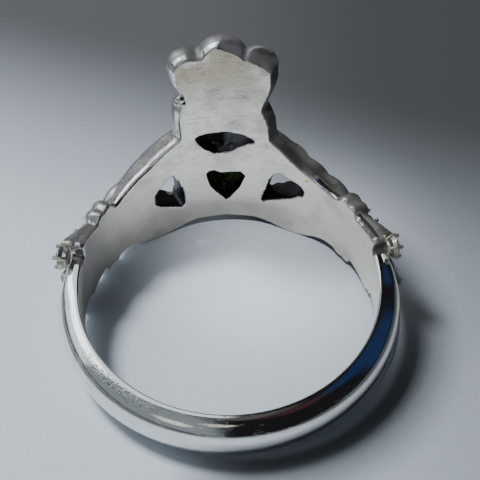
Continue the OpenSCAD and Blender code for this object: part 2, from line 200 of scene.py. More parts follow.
def facing_out(pieces, angle, reach, z):
    """Moves pieces from the origin to the outside of the ring, so that their own Z points outwards."""
    place = (Matrix.Rotation(math.radians(-angle), 4, "Z") @ Matrix.Translation((0, BORE_R + reach, z))
             @ Matrix.Rotation(math.radians(-90), 4, "X"))
    for piece in pieces:
        piece.data.transform(place)


def lookup(table, key, column):
    """Value in a column of a table of rows that start with the key, with straight steps between."""
    key = min(max(key, table[0][0]), table[-1][0])
    for a, b in zip(table, table[1:]):
        if key <= b[0]:
            share = (key - a[0]) / (b[0] - a[0])
            return a[column] + (b[column] - a[column]) * share


def along(angle):
    """Length along the finger hole's wall at an angle from the middle of the head, in degrees."""
    return BORE_R * math.radians(angle)


# %% [markdown]
# ## Silver
# One metal shows two finishes. The outside was polished on a wheel, so it mirrors the room, with
# hairline scratches and a few pits of the casting. The wall that touches the finger was only
# sanded, so it is satin. Both share small node groups for the marks, which put out plain masks.

# %% Helpers for node groups
def new_group(name, inputs, outputs):
    """An empty node group with named sockets, and its two end nodes."""
    tree = bpy.data.node_groups.new(name, "ShaderNodeTree")
    for socket, kind, value in inputs:
        entry = tree.interface.new_socket(socket, in_out="INPUT", socket_type="NodeSocket" + kind)
        if value is not None:
            entry.default_value = value
    for socket, kind in outputs:
        tree.interface.new_socket(socket, in_out="OUTPUT", socket_type="NodeSocket" + kind)
    return tree, tree.nodes.new("NodeGroupInput").outputs, tree.nodes.new("NodeGroupOutput").inputs


def feed(tree, socket, value):
    """Links a socket to another one, or sets its value."""
    if isinstance(value, bpy.types.NodeSocket):
        tree.links.new(value, socket)
    else:
        socket.default_value = value


def split(tree, vector):
    """The three values of a vector."""
    node = tree.nodes.new("ShaderNodeSeparateXYZ")
    feed(tree, node.inputs[0], vector)
    return node.outputs


def combined(tree, x, y, z=0.0):
    """A vector of three values."""
    node = tree.nodes.new("ShaderNodeCombineXYZ")
    for socket, value in zip(node.inputs, (x, y, z)):
        feed(tree, socket, value)
    return node.outputs[0]


# %% Helpers for sums and masks
def math_node(tree, operation, a, b=0.0):
    node = tree.nodes.new("ShaderNodeMath")
    node.operation = operation
    feed(tree, node.inputs[0], a)
    feed(tree, node.inputs[1], b)
    return node.outputs[0]


def plus(tree, a, b):
    return math_node(tree, "ADD", a, b)


def minus(tree, a, b):
    return math_node(tree, "SUBTRACT", a, b)


def times(tree, a, b):
    return math_node(tree, "MULTIPLY", a, b)


def most(tree, a, b):
    return math_node(tree, "MAXIMUM", a, b)


def size_of(tree, value):
    """A value without its sign."""
    return math_node(tree, "ABSOLUTE", value)


def distance(tree, place, middle):
    node = tree.nodes.new("ShaderNodeVectorMath")
    node.operation = "DISTANCE"
    feed(tree, node.inputs[0], place)
    node.inputs[1].default_value = middle
    return node.outputs["Value"]


def ramp(tree, value, low, high, to_low=0.0, to_high=1.0):
    """A smooth step from one value to another."""
    node = tree.nodes.new("ShaderNodeMapRange")
    node.interpolation_type = "SMOOTHSTEP"
    for key, entry in (("Value", value), ("From Min", low), ("From Max", high),
                       ("To Min", to_low), ("To Max", to_high)):
        feed(tree, node.inputs[key], entry)
    return node.outputs["Result"]


def band(tree, value, start, full, fade, end):
    """Mask of a stretch of values with soft ends."""
    return times(tree, ramp(tree, value, start, full), ramp(tree, value, end, fade))


# %% Helpers for patterns and colours
def stretched(tree, vector, scale, turn=0.0):
    node = tree.nodes.new("ShaderNodeMapping")
    feed(tree, node.inputs["Vector"], vector)
    node.inputs["Scale"].default_value = scale
    node.inputs["Rotation"].default_value = (0, 0, math.radians(turn))
    return node.outputs["Vector"]


def noise(tree, vector, scale, detail=2.0):
    node = tree.nodes.new("ShaderNodeTexNoise")
    feed(tree, node.inputs["Vector"], vector)
    node.inputs["Scale"].default_value = scale
    node.inputs["Detail"].default_value = detail
    return node.outputs["Fac"]


def mix(tree, share, a, b):
    node = tree.nodes.new("ShaderNodeMix")
    node.data_type = "RGBA"
    feed(tree, node.inputs[0], share)
    feed(tree, node.inputs[6], a)
    feed(tree, node.inputs[7], b)
    return node.outputs[2]


# %% Node group for the place on the ring
def make_ring_place():
    """Place in the upright frame in mm, and unrolled to length along the wall, height and distance."""
    tree, _, out = new_group("ring place", [], [("Place", "Vector"), ("Unrolled", "Vector")])
    coords = tree.nodes.new("ShaderNodeTexCoord")
    back = tree.nodes.new("ShaderNodeMapping")
    back.vector_type = "TEXTURE"
    tree.links.new(coords.outputs["Object"], back.inputs["Vector"])
    back.inputs["Location"].default_value = REST_PLACE * MM
    back.inputs["Rotation"].default_value = (REST_TILT, 0, 0)
    back.inputs["Scale"].default_value = (MM, MM, MM)
    x, y, z = split(tree, back.outputs["Vector"])
    from_axis = math_node(tree, "SQRT", plus(tree, times(tree, x, x), times(tree, y, y)))
    length = times(tree, math_node(tree, "ARCTAN2", x, y), BORE_R)
    feed(tree, out["Place"], back.outputs["Vector"])
    feed(tree, out["Unrolled"], combined(tree, length, z, from_axis))
    return tree


# %% Node groups for scratches and pits
# turn of the hairlines in degrees, and their scale
HAIRLINES = [(20, 1.0), (75, 1.3), (-35, 0.8), (-70, 1.1)]


def make_scratches():
    """Hairlines that cross each other at several angles."""
    tree, given, out = new_group("hairline scratches",
                                 [("Vector", "Vector", None), ("Amount", "Float", 0.3)], [("Mask", "Float")])
    total = 0.0
    for turn, scale in HAIRLINES:
        lines = noise(tree, stretched(tree, given["Vector"], (0.6 * scale, 16 * scale, 1), turn), 2.0, 1.0)
        patches = noise(tree, stretched(tree, given["Vector"], (1, 1, 1), turn), 1.1, 1.0)
        level = minus(tree, 0.72, times(tree, given["Amount"], 0.2))
        line = ramp(tree, lines, level, plus(tree, level, 0.09))
        line = times(tree, line, ramp(tree, patches, 0.42, 0.66))
        total = line if total == 0.0 else most(tree, total, line)
    feed(tree, out["Mask"], total)
    return tree


def make_pits():
    """Small round pits of the casting, in some of a texture's cells."""
    tree, given, out = new_group("casting pits", [("Vector", "Vector", None), ("Share", "Float", 0.1)],
                                 [("Mask", "Float")])
    cells = tree.nodes.new("ShaderNodeTexVoronoi")
    feed(tree, cells.inputs["Vector"], given["Vector"])
    cells.inputs["Scale"].default_value = 0.9
    dots = ramp(tree, cells.outputs["Distance"], 0.05, 0.11, 1.0, 0.0)
    colour = tree.nodes.new("ShaderNodeSeparateColor")
    feed(tree, colour.inputs[0], cells.outputs["Color"])
    chosen = math_node(tree, "LESS_THAN", colour.outputs[0], given["Share"])
    feed(tree, out["Mask"], times(tree, dots, chosen))
    return tree


# %% Node group for the worn patch
WORN_LENGTH = -20.4
WORN_DISTANCE = 9.2


def make_worn_patch():
    """Bare scuffs on the top of the shank, at the front on the left."""
    tree, given, out = new_group("worn patch", [("Place", "Vector", None)], [("Mask", "Float")])
    length, height, from_axis = split(tree, given["Place"])
    around = size_of(tree, minus(tree, length, WORN_LENGTH))
    across = size_of(tree, minus(tree, from_axis, WORN_DISTANCE))
    patch = times(tree, ramp(tree, around, 1.4, 3.4, 1.0, 0.0), ramp(tree, across, 0.1, 0.3, 1.0, 0.0))
    patch = times(tree, patch, ramp(tree, height, -0.9, -0.6))
    scuffs = noise(tree, stretched(tree, combined(tree, length, from_axis), (1, 2.4, 1), 40), 5.0, 3.0)
    feed(tree, out["Mask"], times(tree, patch, ramp(tree, scuffs, 0.52, 0.62)))
    return tree


ring_place = make_ring_place()
hairlines = make_scratches()
pits = make_pits()
worn_patch = make_worn_patch()
print("node groups:", [group.name for group in bpy.data.node_groups])


# %% Helpers for materials
def use(tree, group, **given):
    """Places a node group in a tree and feeds its inputs."""
    node = tree.nodes.new("ShaderNodeGroup")
    node.node_tree = group
    for key, value in given.items():
        feed(tree, node.inputs[key], value)
    return node.outputs


def new_material(name):
    material = bpy.data.materials.new(name)
    material.use_nodes = True
    return material, material.node_tree, material.node_tree.nodes["Principled BSDF"]


def bump(tree, shader, height, strength, depth):
    node = tree.nodes.new("ShaderNodeBump")
    node.inputs["Strength"].default_value = strength
    node.inputs["Distance"].default_value = depth
    feed(tree, node.inputs["Height"], height)
    feed(tree, shader.inputs["Normal"], node.outputs["Normal"])


# %% Polished silver
BRIGHT = (0.93, 0.925, 0.91, 1)
RUBBED = (0.86, 0.85, 0.82, 1)
AGED = (0.10, 0.094, 0.088, 1)
PIT_DARK = (0.12, 0.12, 0.12, 1)


def worn_bright(tree, length, height, from_axis, neck_shade):
    """Mask of the edges along the finger hole's wall that wear keeps bright."""
    near_wall = times(tree, ramp(tree, from_axis, BORE_R + 0.56, BORE_R + 0.44), minus(tree, 1.0, neck_shade))
    left_arm = band(tree, length, along(-53), along(-51), -0.4, 0.4)
    right_arm = band(tree, length, along(37), along(40), along(51), along(52))
    right_cuff = ramp(tree, length, along(61), along(62.5))
    sides = most(tree, left_arm, most(tree, right_cuff, right_arm))
    # the notch between the left and the middle lobe stays dark
    beside = size_of(tree, plus(tree, length, 1.55))
    notch = times(tree, ramp(tree, height, 7.0, 7.5), ramp(tree, beside, 0.5, 0.36))
    return times(tree, near_wall, times(tree, sides, minus(tree, 1.0, notch)))


def aged_share(tree, place, clouds, on_head):
    """How dark the silver is: most in the grooves, on the right side and on the crown, and at the necks,
    where the dark is painted shade.
    """
    grooves = tree.nodes.new("ShaderNodeAttribute")
    grooves.attribute_name = "grooves"
    length, height, from_axis = split(tree, place["Unrolled"])
    # painted shade in the recesses at the necks
    neck_shade = ramp(tree, size_of(tree, length), along(76.5), along(77))
    dull = most(tree, ramp(tree, length, -2, 3, 0.45, 1.0), ramp(tree, height, 3.0, 4.5, 0.0, 0.8))
    dull = times(tree, most(tree, dull, neck_shade), ramp(tree, clouds, 0.3, 0.6, 0.8, 1.0))
    kept = minus(tree, 1.0, worn_bright(tree, length, height, from_axis, neck_shade))
    flats = ramp(tree, grooves.outputs["Fac"], -0.05, -0.02)
    aged = times(tree, times(tree, on_head, flats), times(tree, dull, kept))
    tarnish = ramp(tree, grooves.outputs["Fac"], 0.02, 0.08)
    return most(tree, aged, times(tree, tarnish, 0.9))


def polished_silver():
    """Mirror finish that turns dark in the grooves, where the polishing wheel doesn't reach."""
    material, tree, shader = new_material("polished silver")
    place = use(tree, ring_place)
    lines = use(tree, hairlines, Vector=place["Unrolled"], Amount=0.35)["Mask"]
    holes = use(tree, pits, Vector=place["Place"], Share=0.07)["Mask"]
    worn = use(tree, worn_patch, Place=place["Unrolled"])["Mask"]
    marks = most(tree, holes, times(tree, worn, 0.75))
    clouds = noise(tree, place["Place"], 0.6, 3.0)
    away = size_of(tree, split(tree, place["Unrolled"])["X"])
    on_head = ramp(tree, away, along(80.6), along(80.2))
    aged = aged_share(tree, place, clouds, on_head)
    skin = mix(tree, aged, mix(tree, ramp(tree, clouds, 0.45, 0.7), BRIGHT, RUBBED), AGED)
    feed(tree, shader.inputs["Base Color"], mix(tree, marks, skin, PIT_DARK))
    rough = plus(tree, ramp(tree, clouds, 0.35, 0.75, 0.04, 0.09), times(tree, lines, 0.18))
    feed(tree, shader.inputs["Roughness"], plus(tree, rough, times(tree, aged, 0.4)))
    feed(tree, shader.inputs["Metallic"], minus(tree, 1.0, times(tree, aged, 0.3)))
    uneven = times(tree, noise(tree, place["Place"], 1.2, 1.5), times(tree, on_head, 5.0))
    fine = noise(tree, place["Place"], 9.0, 2.0)
    relief = minus(tree, times(tree, fine, 0.12), times(tree, lines, 0.25))
    bump(tree, shader, minus(tree, plus(tree, relief, uneven), marks), 0.35, 0.03 * MM)
    return material


# %% Blackened silver
def blackened_silver():
    """Dark, dull silver inside the pierced openings."""
    material, tree, shader = new_material("blackened silver")
    place = use(tree, ring_place)
    clouds = noise(tree, place["Place"], 1.5, 3.0)
    feed(tree, shader.inputs["Base Color"], mix(tree, clouds, (0.05, 0.055, 0.065, 1), (0.10, 0.10, 0.11, 1)))
    feed(tree, shader.inputs["Roughness"], ramp(tree, clouds, 0.3, 0.7, 0.3, 0.5))
    shader.inputs["Metallic"].default_value = 1
    bump(tree, shader, clouds, 0.4, 0.04 * MM)
    return material


# %% Satin silver
SANDED_DARK = (0.88, 0.82, 0.705, 1)
SANDED_PALE = (1.0, 0.94, 0.815, 1)
SMUDGED = (0.75, 0.71, 0.63, 1)
# colour of the shade painted on the satin wall
SATIN_SHADE = (0.50, 0.47, 0.42, 1)
YELLOWED = (0.64, 0.555, 0.40, 1)
# place of each small stain of red polish, and its radius
RED_STAINS = [((-1.22, 8.6, 8.6), 0.4), ((-1.12, 8.6, 8.0), 0.3)]
RED = (0.55, 0.30, 0.24, 1)
YELLOW_SPECK = ((5.03, 7.07, 0.32), 0.17)
YELLOW = (0.62, 0.52, 0.08, 1)


def spot(tree, place, middle, reach):
    """Mask of a small round stain."""
    return ramp(tree, distance(tree, place, middle), reach, reach * 0.4)


def satin_colour(tree, place, brushed, clouds):
    """Sanded silver with shade painted along its lower edge in the middle and on the left, and yellowed on
    the crown.
    """
    length, height, from_axis = split(tree, place["Unrolled"])
    colour = mix(tree, ramp(tree, brushed, 0.35, 0.65), SANDED_DARK, SANDED_PALE)
    colour = mix(tree, ramp(tree, clouds, 0.45, 0.7), colour, SMUDGED)
    # painted shade along the wall's lower edge in the middle, near the floor, and on its left side
    middle = ramp(tree, size_of(tree, length), 6.0, 3.0)
    shade_low_middle = times(tree, middle, ramp(tree, height, -2.4, -3.6, 0.0, 0.6))
    painted_shade = most(tree, shade_low_middle, ramp(tree, length, -7.0, -11.0))
    painted_shade = times(tree, painted_shade, ramp(tree, from_axis, BORE_R + 0.5, BORE_R + 0.3))
    colour = mix(tree, painted_shade, colour, SATIN_SHADE)
    stain = times(tree, ramp(tree, height, 5.2, 8.2), ramp(tree, clouds, 0.32, 0.52))
    colour = mix(tree, times(tree, stain, 0.85), colour, YELLOWED)
    red_spots = [spot(tree, place["Place"], middle, reach) for middle, reach in RED_STAINS]
    colour = mix(tree, times(tree, most(tree, *red_spots), brushed), colour, RED)
    return mix(tree, spot(tree, place["Place"], *YELLOW_SPECK), colour, YELLOW)


def satin_silver():
    """Sanded finish, with brushed lines along the wall and others across them."""
    material, tree, shader = new_material("satin silver")
    place = use(tree, ring_place)
    brushed = noise(tree, stretched(tree, place["Unrolled"], (0.3, 7, 1)), 3.0, 3.0)
    crossed = noise(tree, stretched(tree, place["Unrolled"], (3, 1.2, 1), 30), 3.0, 2.0)
    clouds = noise(tree, place["Place"], 0.55, 3.0)
    lines = use(tree, hairlines, Vector=place["Unrolled"], Amount=0.45)["Mask"]
    feed(tree, shader.inputs["Base Color"], satin_colour(tree, place, brushed, clouds))
    feed(tree, shader.inputs["Roughness"], ramp(tree, clouds, 0.3, 0.7, 0.3, 0.42))
    shader.inputs["Metallic"].default_value = 1
    relief = plus(tree, brushed, times(tree, crossed, 0.4))
    bump(tree, shader, minus(tree, relief, times(tree, lines, 0.4)), 0.5, 0.03 * MM)
    return material


# %% [markdown]
# ## Stones
# Moldavite is a natural glass, bottle green in thin pieces and nearly black in a thick cut stone. So it
# gets a deep colour, full transmission and the low refraction of glass. The small stones are clear
# and bright, with a higher refraction, and slightly rough because they are set dirty and worn.

# %% Stones
def make_glass(shader, roughness, refraction):
    shader.inputs["Roughness"].default_value = roughness
    shader.inputs["Metallic"].default_value = 0
    shader.inputs["IOR"].default_value = refraction
    shader.inputs["Transmission Weight"].default_value = 1


def moldavite():
    """Dark olive green glass, with the faint flow clouds of a melt."""
    material, tree, shader = new_material("moldavite")
    place = use(tree, ring_place)
    clouds = noise(tree, stretched(tree, place["Place"], (1, 1, 2.5), 25), 0.9, 3.0)
    feed(tree, shader.inputs["Base Color"],
         mix(tree, clouds, (0.035, 0.065, 0.013, 1), (0.07, 0.11, 0.03, 1)))
    make_glass(shader, 0.02, 1.49)
    return material


def clear_stone():
    material, tree, shader = new_material("clear stone")
    place = use(tree, ring_place)
    clouds = noise(tree, place["Place"], 2.0, 2.0)
    feed(tree, shader.inputs["Base Color"],
         mix(tree, clouds, (0.93, 0.95, 0.97, 1), (0.98, 0.98, 0.98, 1)))
    make_glass(shader, 0.2, 1.9)
    return material


# %% Materials on the CAD pieces
polished = polished_silver()
blackened = blackened_silver()
satin = satin_silver()
green_glass = moldavite()
clear_glass = clear_stone()
for name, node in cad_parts.items():
    node.data.materials.clear()
    if name == "heart_stone":
        node.data.materials.append(green_glass)
    elif "stone" in name:
        node.data.materials.append(clear_glass)
    else:
        node.data.materials.append(polished)
print("materials:", [material.name for material in bpy.data.materials])

# %% [markdown]
# ## Shank
# The shank is half-round wire bent round the finger. It is drawn out thinner and squarer where it
# meets the head, so one section is not enough for a spin. We extrude a ring of points from section to
# section instead, and each section is a rounded square whose roundness depends on the angle.

# %% Shank
SHANK_THIN = 0.97
SHANK_RISE = 0.2
SHANK_FULL = 96
SQUARE, ROUND = 4.2, 2.1
SECTION_POINTS = 44


def shank_section(angle):
    """Points of the shank's section at an angle, from its upper inner edge round the outside."""
    share = min(max((angle if angle < 180 else 360 - angle) - SHANK_START, 0) / (SHANK_FULL - SHANK_START), 1)
    share = share * share * (3 - 2 * share)
    thick = SHANK_THIN + (SHANK_T - SHANK_THIN) * share
    half = SHANK_H / 2 + SHANK_RISE * (1 - share)
    power = 2 / (SQUARE + (ROUND - SQUARE) * share)
    turn = math.radians(angle)
    ring = []
    for i in range(SECTION_POINTS + 1):
        around = math.pi * i / SECTION_POINTS
        out = BORE_R + thick * math.sin(around) ** power if 0 < i < SECTION_POINTS else BORE_R
        up = half * math.copysign(abs(math.cos(around)) ** power, math.cos(around))
        ring.append((out * math.sin(turn), out * math.cos(turn), -SHANK_H / 2 + up))
    return ring


SECTIONS = 120
turns = [SHANK_START + (360 - 2 * SHANK_START) * i / SECTIONS for i in range(SECTIONS + 1)]
shank = loft("shank", [shank_section(angle) for angle in turns])
modify(shank, "BEVEL", width=0.09, segments=3, limit_method="ANGLE", angle_limit=math.radians(55))
print("shank has", len(shank.data.polygons), "faces")

# %% [markdown]
# ## Head, flat first
# A jeweller carves such a head flat in wax. We do the same: X runs along the finger hole's wall, Y
# is the thickness and Z the height. Every form stands on Y = 0, the wall of the finger hole. The
# plate's edges are uneven, so a table gives their heights, and a loft stacks outlines that draw back
# towards the front and get thinner towards the wrists.

# %% Plate of the head
# angle, lower edge, upper edge on the left and on the right
BAND = [
    (0, -4.75, 2.90, 2.90), (13, -4.80, 2.95, 2.85), (18, -5.00, 3.00, 2.80),
    (22.5, -5.25, 2.58, 2.25), (27, -5.40, 2.10, 1.62), (32, -5.35, 1.57, 1.08),
    (37, -5.05, 1.24, 0.77), (42.5, -4.60, 0.86, 0.47), (47, -4.42, 0.52, 0.35),
    (51, -4.35, 0.30, 0.38), (62, -4.25, 0.40, 0.45)]
BAND_END = 58
# distance from the wall, and how far the upper and the lower edge draw back there
PLATE = [
    (0, 0.1, 0), (0.06, 0.02, 0), (0.12, 0, 0), (0.44, 0, 0), (0.6, 0.06, 0), (0.9, 0.16, 0),
    (1.2, 0.26, 0.1), (1.5, 0.38, 0.3), (1.7, 0.54, 0.5)]
ARM_FROM, ARM_TO = 28, 55
UNDER_CROWN = 17


def arm_share(angle):
    """The arms get thinner towards the wrists."""
    share = min(max((abs(angle) - ARM_FROM) / (ARM_TO - ARM_FROM), 0), 1)
    return 1 - 0.45 * share * share * (3 - 2 * share)


def plate_ring(y, top_back, bottom_back):
    """The plate's outline at a distance from the wall. The crown hides the middle of the upper edge."""
    def edge(angles, column, back):
        return [(along(a), y * arm_share(a), lookup(BAND, abs(a), column) + back) for a in angles]
    angles = [i * BAND_END / 40 for i in range(41)]
    shoulders = [a for a in angles if a > UNDER_CROWN]
    lower = edge([-a for a in angles[:0:-1]] + angles, 1, bottom_back)
    return lower + edge(shoulders[::-1], 3, -top_back) + edge([-a for a in shoulders], 2, -top_back)


plate = loft("plate", [plate_ring(*station) for station in PLATE])
print("plate is", len(PLATE), "outlines thick")

# %% [markdown]
# ## Crown
# The crown is a plate with three round lobes, two wires and a row of beads along its foot. It could
# be cut from one outline, but the lobes stand up a little from each other. So each is a disc of its
# own, and the remesh later melts them together. The wires are cylinders and the beads are spheres.

# %% Plate of the crown
# height, half-width on the left and on the right
CROWN_SIDES = [
    (2.6, 2.75, 2.87), (3.8, 2.73, 2.76), (4.5, 2.77, 2.55), (5.1, 2.70, 2.30), (5.6, 2.55, 2.42),
    (6.25, 2.34, 2.62), (6.6, 2.45, 2.72), (7.2, 2.70, 2.82), (8.3, 2.83, 2.80)]
CROWN_T = 1.1
LOBES = [(-1.94, 8.28, 0.88), (0, 8.68, 1.18), (1.94, 8.28, 0.88)]
# distance from the wall, and how far the edge draws back there
CROWN = [(0, 0.16), (0.1, 0.05), (0.22, 0), (0.7, -0.1), (1.0, -0.12), (1.2, -0.06), (1.32, 0.1)]
# the notches between the lobes are filled up with metal
NOTCHES = [(-1.2, 8.6, 0.44), (1.2, 8.45, 0.5)]


def crown_ring(y, back):
    left_side = [(-left + back, y, z) for z, left, right in CROWN_SIDES]
    return left_side + [(right - back, y, z) for z, left, right in CROWN_SIDES[::-1]]


def lobe_ring(x, z, r, y):
    turns = [2 * math.pi * i / 40 for i in range(40)]
    return [(x + r * math.cos(t), y, z + r * math.sin(t)) for t in turns]


crown_forms = [loft("crown", [crown_ring(y, back) for y, back in CROWN])]
for x, z, r in LOBES + NOTCHES:
    crown_forms.append(loft("crown lobe", [lobe_ring(x, z, r - back, y) for y, back in CROWN]))

# %% Wires and beads along the foot of the crown
CROWN_BAND = (3.35, 4.35)
CROWN_WIRE_R = 0.28
BEAD_R = 0.3
for z in CROWN_BAND:
    deselect()
    bpy.ops.mesh.primitive_cylinder_add(vertices=20, radius=CROWN_WIRE_R, depth=2 * along(15),
                                        location=(0, CROWN_T, z), rotation=(0, math.radians(90), 0))
    bpy.ops.object.transform_apply(location=True, rotation=True, scale=True)
    crown_forms.append(bpy.context.object)
for angle in (-12, -6, 0, 6, 12):
    crown_forms.append(pebble((along(angle), CROWN_T, sum(CROWN_BAND) / 2), (BEAD_R, BEAD_R, BEAD_R)))
print("crown is joined from", len(crown_forms), "forms")

# %% [markdown]
# ## Hands
# Four fingers lie over the plate from the back of the hand to the heart, and the thumb holds it from
# above. They could be sculpted, but three stretched spheres a finger give the joints just as well.
# One hand is made, and a mirrored copy is the other.

# %% Fingers, thumb and back of one hand
# places along the plate and up, of each fingertip and of the finger's root
FINGERS = [((2.55, -3.3), (5.4, -1.75)), ((2.4, -3.95), (5.5, -2.6)),
           ((2.3, -4.5), (5.5, -3.45)), ((2.3, -4.95), (5.2, -4.35))]
# share of the way from the tip, and half-length of the joint
JOINTS = [(0.12, 0.55), (0.42, 0.8), (0.8, 0.95)]
# place, half-sizes and lean of each joint of the thumb
THUMB = [((3.0, 1.38, 1.4), (0.75, 0.55, 0.55), 32), ((3.9, 1.42, 0.75), (0.95, 0.6, 0.55), 36),
         ((5.2, 1.35, -0.2), (1.2, 0.62, 0.6), 36)]
hand = []
for (tip_x, tip_z), (root_x, root_z) in FINGERS:
    lean = -math.degrees(math.atan2(root_z - tip_z, root_x - tip_x))
    for share, half in JOINTS:
        out = 1.34 + 0.12 * math.sin(math.pi * share)
        place = (tip_x + (root_x - tip_x) * share, out, tip_z + (root_z - tip_z) * share)
        hand.append(pebble(place, (half, 0.6, 0.33 + 0.08 * share), lean))
for place, sizes, lean in THUMB:
    hand.append(pebble(place, sizes, lean))
hand.append(pebble((6.4, 1.1, -1.95), (1.75, 0.85, 2.35)))
hand += mirrored(hand)
print("two hands of", len(hand) // 2, "lumps each")

# %% [markdown]
# ## Cuffs, necks and wires
# A cuff is gathered in pleats that widen towards its mouth, and its crests run past its valleys like
# scallops. A section is lofted along the wall, because its size and its pleats both change on the
# way. Two wires hold it at the wrist, and a narrow neck joins it to the shank.

# %% Cuffs
# angle, upper edge, lower edge, thickness, share of the pleats' depth and of the scallops
CUFF = [
    (57.3, 0.30, -4.00, 0.85, 0.3, 0), (61, 0.36, -4.02, 0.92, 0.5, 0.3), (65, 0.50, -4.10, 1.06, 0.75, 0.6),
    (69, 0.65, -4.20, 1.24, 0.9, 0.8), (73, 0.80, -4.30, 1.46, 1, 1), (75.4, 0.92, -4.36, 1.62, 1, 1),
    (76.4, 0.72, -4.16, 1.42, 0.6, 0)]
PLEATS = 14
PLEAT_DEPTH = 0.17
SCALLOP = 0.9
CUFF_CORNER = 0.45
BEVEL_WIDTH, BEVEL_DROP = 0.24, 0.11
PLEAT_POINTS = 8


def cuff_ring(angle, top, bottom, thick, pleat, scallop, drop):
    """Section of a cuff: up from the wall over the top, down the face and back under it."""
    r = CUFF_CORNER
    run = [thick - r, r * math.pi / 2, top - bottom - 2 * r, r * math.pi / 2, thick - r]
    count = PLEATS * PLEAT_POINTS
    ring = []
    for i in range(count + 1):
        s = sum(run) * i / count
        part = 0
        while part < 4 and s > run[part]:
            s -= run[part]
            part += 1
        turn = [90, 90 * (1 - s / run[1]), 0, -90 * s / run[3], -90][part]
        y = [s, thick - r, thick - r, thick - r, thick - r - s][part]
        z = [top - r, top - r, top - r - s, bottom + r, bottom + r][part]
        crest = abs(math.sin(math.pi * i / PLEAT_POINTS))
        out = r - PLEAT_DEPTH * pleat * (1 - crest)
        y = max(0, y + out * math.cos(math.radians(turn)))
        z += out * math.sin(math.radians(turn))
        if part == 0:
            z -= drop * max(0, 1 - y / BEVEL_WIDTH)
        ring.append((along(angle - SCALLOP * scallop * (1 - crest)), y, z))
    return ring


left_cuffs = mirrored([loft("cuff", [cuff_ring(*station, 0) for station in CUFF])])
bpy.data.objects.remove(bpy.data.objects["cuff"])
# the right cuff has a bevel along the wall, and is a little longer, measured from the wrist
cuff = loft("cuff", [cuff_ring(*station, BEVEL_DROP) for station in CUFF])
RIGHT_LONGER = 1.1
wrist_x = along(CUFF[0][0])
cuff.data.transform(Matrix.Translation((wrist_x, 0, 0)) @ Matrix.Scale(RIGHT_LONGER, 4, Vector((1, 0, 0)))
                    @ Matrix.Translation((-wrist_x, 0, 0)))

# %% Necks and wrist wires
NECK = [(along(74), -3.85), (along(82), -3.85), (along(82), -0.05), (along(74), -0.05)]
neck = slab("neck", NECK, 0, 0.8)


def wire_ring(centre, r, turn):
    """Round section of a wire that runs round the wrist and faces turn degrees up from outwards."""
    y, z = centre
    ring = []
    for i in range(16):
        around = 2 * math.pi * i / 16
        away = r * math.cos(around)
        ring.append((r * math.sin(around), y + away * math.cos(turn), z + away * math.sin(turn)))
    return ring


WIRES = [(54.5, 0.475), (59, 0.42)]
WIRE_TOP = 0.38
WIRE_BOTTOM = -4.15
WIRE_OUT = 0.95
WIRE_BEND = 0.52


def wire_stops():
    """Centres along a wire, from the wall over the top, down the face and back, with their turns."""
    stops = [((0, WIRE_TOP), math.radians(90))]
    for edge, up, turns in ((WIRE_TOP, 1, range(90, -1, -15)), (WIRE_BOTTOM, -1, range(0, -91, -15))):
        for turn in map(math.radians, turns):
            out = WIRE_OUT - WIRE_BEND * (1 - math.cos(turn))
            stops.append(((out, edge - up * WIRE_BEND * (1 - up * math.sin(turn))), turn))
    return stops + [((0, WIRE_BOTTOM), math.radians(-90))]


side_forms = [neck]
for angle, r in WIRES:
    rings = [wire_ring(centre, r, turn) for centre, turn in wire_stops()]
    placed = [[(x + along(angle), y, z) for x, y, z in ring] for ring in rings]
    side_forms.append(loft("wrist wire", placed))
side_forms += mirrored(side_forms)
print("cuffs, necks and wires:", 2 + len(side_forms), "forms")

# %% [markdown]
# ## Melting the flat head
# A voxel remesh turns all the forms into one skin and softens the joints, as wax and casting do.

# %% Melt the forms together
VOXEL = 0.09
SECOND_VOXEL = 0.094
head = join([plate, cuff] + crown_forms + hand + left_cuffs + side_forms, "head")
modify(head, "REMESH", mode="VOXEL", voxel_size=VOXEL, use_smooth_shade=True)
print("flat head has", len(head.data.polygons), "faces")

# %% [markdown]
# ## Bent round the finger and pierced
# The flat head is bent with a simple deform, so X becomes the angle round the finger. The openings
# are sawn through afterwards, because a jeweller saws them straight through the curved plate.

# %% Bend
reach = [vert.co.x for vert in head.data.vertices]
modify(head, "SIMPLE_DEFORM", deform_method="BEND", deform_axis="Z",
       angle=-(max(reach) - min(reach)) / BORE_R)
head.data.transform(Matrix.Translation((0, BORE_R, 0)))
print("head bent through", round(math.degrees((max(reach) - min(reach)) / BORE_R)), "degrees")

# %% Openings, as [x, height] round their edges
CRESCENT = [(-1.81, 2.82), (-1.47, 3.04), (-0.74, 3.13), (0.05, 3.15), (0.53, 3.1), (0.95, 2.99),
            (1.44, 2.78), (1.92, 2.42), (1.32, 2.15), (0.83, 1.88), (0.45, 1.51), (0.08, 1.46),
            (-0.29, 1.41), (-0.7, 1.42), (-0.9, 1.65), (-1.2, 1.84), (-1.5, 2.17)]
HEART_HOLE = [(-1.22, -0.42), (-1.02, -0.18), (-0.71, -0.13), (-0.27, -0.4), (0.18, -0.36),
              (0.99, -0.32), (1.28, -0.72), (0.92, -1.82), (0.6, -2.33), (0.27, -2.84), (0, -3.08),
              (-0.26, -2.71), (-0.69, -2.16), (-1, -1.62), (-1.14, -1.01)]
LEFT_OPENING = [(-3.37, 0.16), (-2.89, -0.84), (-2.67, -1.8), (-2.67, -2.9), (-2.85, -3.12),
                (-4.23, -2.3), (-4.48, -1.9), (-4.48, -1.26), (-4.27, -0.91), (-3.79, -0.36)]
RIGHT_OPENING = [(3.06, -0.18), (3.42, 0.06), (4.03, -0.25), (4.65, -0.49), (4.9, -0.88),
                 (4.84, -1.3), (4.51, -1.46), (4.09, -1.96), (3.17, -2.52), (2.6, -2.79), (2.21, -3.1),
                 (2.34, -2.56), (2.59, -1.6), (2.82, -0.65)]
SIDE_ANGLE = 25
INSIDE, OUTSIDE = 4, 13


